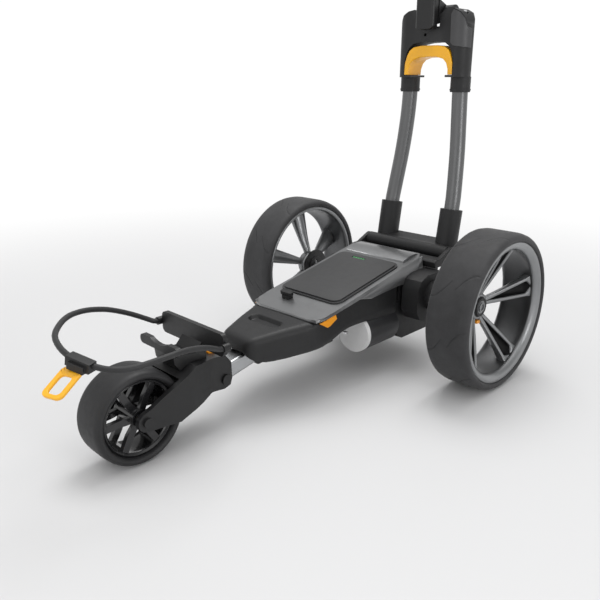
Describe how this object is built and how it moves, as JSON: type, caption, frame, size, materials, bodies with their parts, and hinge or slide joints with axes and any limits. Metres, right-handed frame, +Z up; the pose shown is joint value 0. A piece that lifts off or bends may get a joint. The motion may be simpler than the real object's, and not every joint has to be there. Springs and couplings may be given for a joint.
{
  "type": "electric golf trolley",
  "caption": "Compact electric golf trolley: wide rear drive wheels, fork-held front wheel, battery chassis, folding twin-tube stem with bag bracket and control handle",
  "frame": {"origin": "on the ground under the middle of the trolley's footprint: halfway between the foremost point of the front tyre and the rearmost point of the grip, and halfway between the rear tyres", "axes": "+Z up, X along the rear axle, front wheel towards -Y, user behind at +Y"},
  "size_m": [0.564, 0.9453, 1.001],
  "materials": {
    "black_plastic": "satin moulded",
    "gloss_black": "fine gloss moulded",
    "dark_grey": "satin moulded",
    "pod_grey": "satin moulded",
    "silver_plastic": "fine metallic paint",
    "orange": "gloss moulded",
    "yellow": "gloss moulded",
    "alu": "satin anodised",
    "alu_grey": "titanium grey anodised",
    "rim_silver": "fine metallic paint",
    "tyre": "smooth tread compound",
    "rubber": "smooth",
    "steel": "machined",
    "motor_black": "satin enamel",
    "cap_grey": "satin moulded",
    "board": "solder mask",
    "copper": "enamelled winding",
    "bronze": "machined",
    "cell": "shrink wrap",
    "lens": "dark tinted window",
    "led": "translucent",
    "white": "gloss moulded"
  },
  "bodies": {
    "chassis": {"chassis_shell": "black_plastic", "chassis_floor": "black_plastic", "deck_frame": "silver_plastic", "side_marker_right": "orange", "side_marker_left": "orange", "front_tube": "alu", "pivot_block": "black_plastic", "control_board": "board", "gearbox_left": "black_plastic", "gearbox_right": "black_plastic", "gearbox_bearings": "steel", "motor_can": "motor_black", "motor_cap": "cap_grey", "battery_case": "dark_grey", "battery_lid": "dark_grey", "battery_cells": "cell", "battery_leds": "led", "hinge_base": "black_plastic", "stem_pin": "steel", "chassis_screws": "steel"},
    "plug": {"battery_plug": "black_plastic"},
    "rotor": {"motor_rotor": "copper", "worm": "steel"},
    "axle": {"axle_shaft": "steel", "worm_wheel": "bronze", "drive_pins": "steel"},
    "wheel_right": {"tyre_right": "tyre", "rim_right": "rim_silver", "hub_right": "black_plastic", "hub_cap_right": "silver_plastic"},
    "button_right": {"release_right": "orange"},
    "wheel_left": {"tyre_left": "tyre", "rim_left": "rim_silver", "hub_left": "black_plastic", "hub_cap_left": "silver_plastic"},
    "button_left": {"release_left": "orange"},
    "front_fork": {"fork": "black_plastic", "fork_pin": "steel", "bag_cradle": "gloss_black", "front_axle": "steel", "bag_strap": "rubber", "strap_hook": "black_plastic", "strap_tab": "yellow"},
    "latch": {"fork_latch": "orange"},
    "front_wheel": {"front_tyre": "tyre", "front_rim": "gloss_black", "front_bearings": "steel"},
    "stem": {"stem_yoke": "black_plastic", "stem_tube_right": "alu_grey", "stem_tube_left": "alu_grey", "upper_bracket": "black_plastic", "side_pod": "pod_grey", "handle_pin": "steel"},
    "lever": {"fold_lever": "yellow"},
    "handle": {"handle_stem": "gloss_black", "handle_head": "black_plastic", "handle_grip": "rubber", "display_lens": "lens"},
    "dial": {"speed_dial": "orange"},
    "button_power": {"power_button": "white"}
  },
  "joints": [
    {"name": "axle_spin", "type": "hinge", "parent": "chassis", "child": "axle", "pos_m": [0, 0.2415, 0.145], "axis": [1, 0, 0], "continuous": true},
    {"name": "motor_spin", "type": "hinge", "parent": "chassis", "child": "rotor", "pos_m": [0.052, 0.2415, 0.09], "axis": [0, 1, 0], "continuous": true},
    {"name": "wheel_right_pull", "type": "slide", "parent": "axle", "child": "wheel_right", "axis": [1, 0, 0], "range_m": [0, 0.06]},
    {"name": "wheel_left_pull", "type": "slide", "parent": "axle", "child": "wheel_left", "axis": [-1, 0, 0], "range_m": [0, 0.06]},
    {"name": "wheel_right_release", "type": "slide", "parent": "wheel_right", "child": "button_right", "axis": [-1, 0, 0], "range_m": [0, 0.003], "stiffness_N_per_m": 600},
    {"name": "wheel_left_release", "type": "slide", "parent": "wheel_left", "child": "button_left", "axis": [1, 0, 0], "range_m": [0, 0.003], "stiffness_N_per_m": 600},
    {"name": "fork_fold", "type": "hinge", "parent": "chassis", "child": "front_fork", "pos_m": [0, -0.2055, 0.086], "axis": [1, 0, 0], "range_deg": [0, 140]},
    {"name": "fork_latch_press", "type": "slide", "parent": "front_fork", "child": "latch", "axis": [0, 0, -1], "range_m": [0, 0.0022], "stiffness_N_per_m": 800},
    {"name": "front_wheel_spin", "type": "hinge", "parent": "front_fork", "child": "front_wheel", "pos_m": [0, -0.3615, 0.074], "axis": [1, 0, 0], "continuous": true},
    {"name": "stem_fold", "type": "hinge", "parent": "chassis", "child": "stem", "pos_m": [0, 0.3215, 0.208], "axis": [1, 0, 0], "range_deg": [0, 86]},
    {"name": "fold_lever_pull", "type": "slide", "parent": "stem", "child": "lever", "axis": [0, 0, 1], "range_m": [0, 0.005], "stiffness_N_per_m": 900},
    {"name": "handle_fold", "type": "hinge", "parent": "stem", "child": "handle", "pos_m": [0, 0.3815, 0.664], "axis": [1, 0, 0], "range_deg": [-150, 0]},
    {"name": "speed_dial_turn", "type": "hinge", "parent": "handle", "child": "dial", "pos_m": [0.03, 0.37688, 0.93472], "axis": [0, 0.5299, 0.848], "range_deg": [0, 270]},
    {"name": "power_button_press", "type": "slide", "parent": "handle", "child": "button_power", "axis": [0, -0.5299, -0.848], "range_m": [0, 0.002], "stiffness_N_per_m": 500},
    {"name": "battery_plug_pull", "type": "slide", "parent": "chassis", "child": "plug", "axis": [0, -0.1994, 0.9799], "range_m": [0, 0.018]}
  ],
  "couplings": [
    {"joint": "motor_spin", "follows": "axle_spin", "ratio": 20}
  ]
}
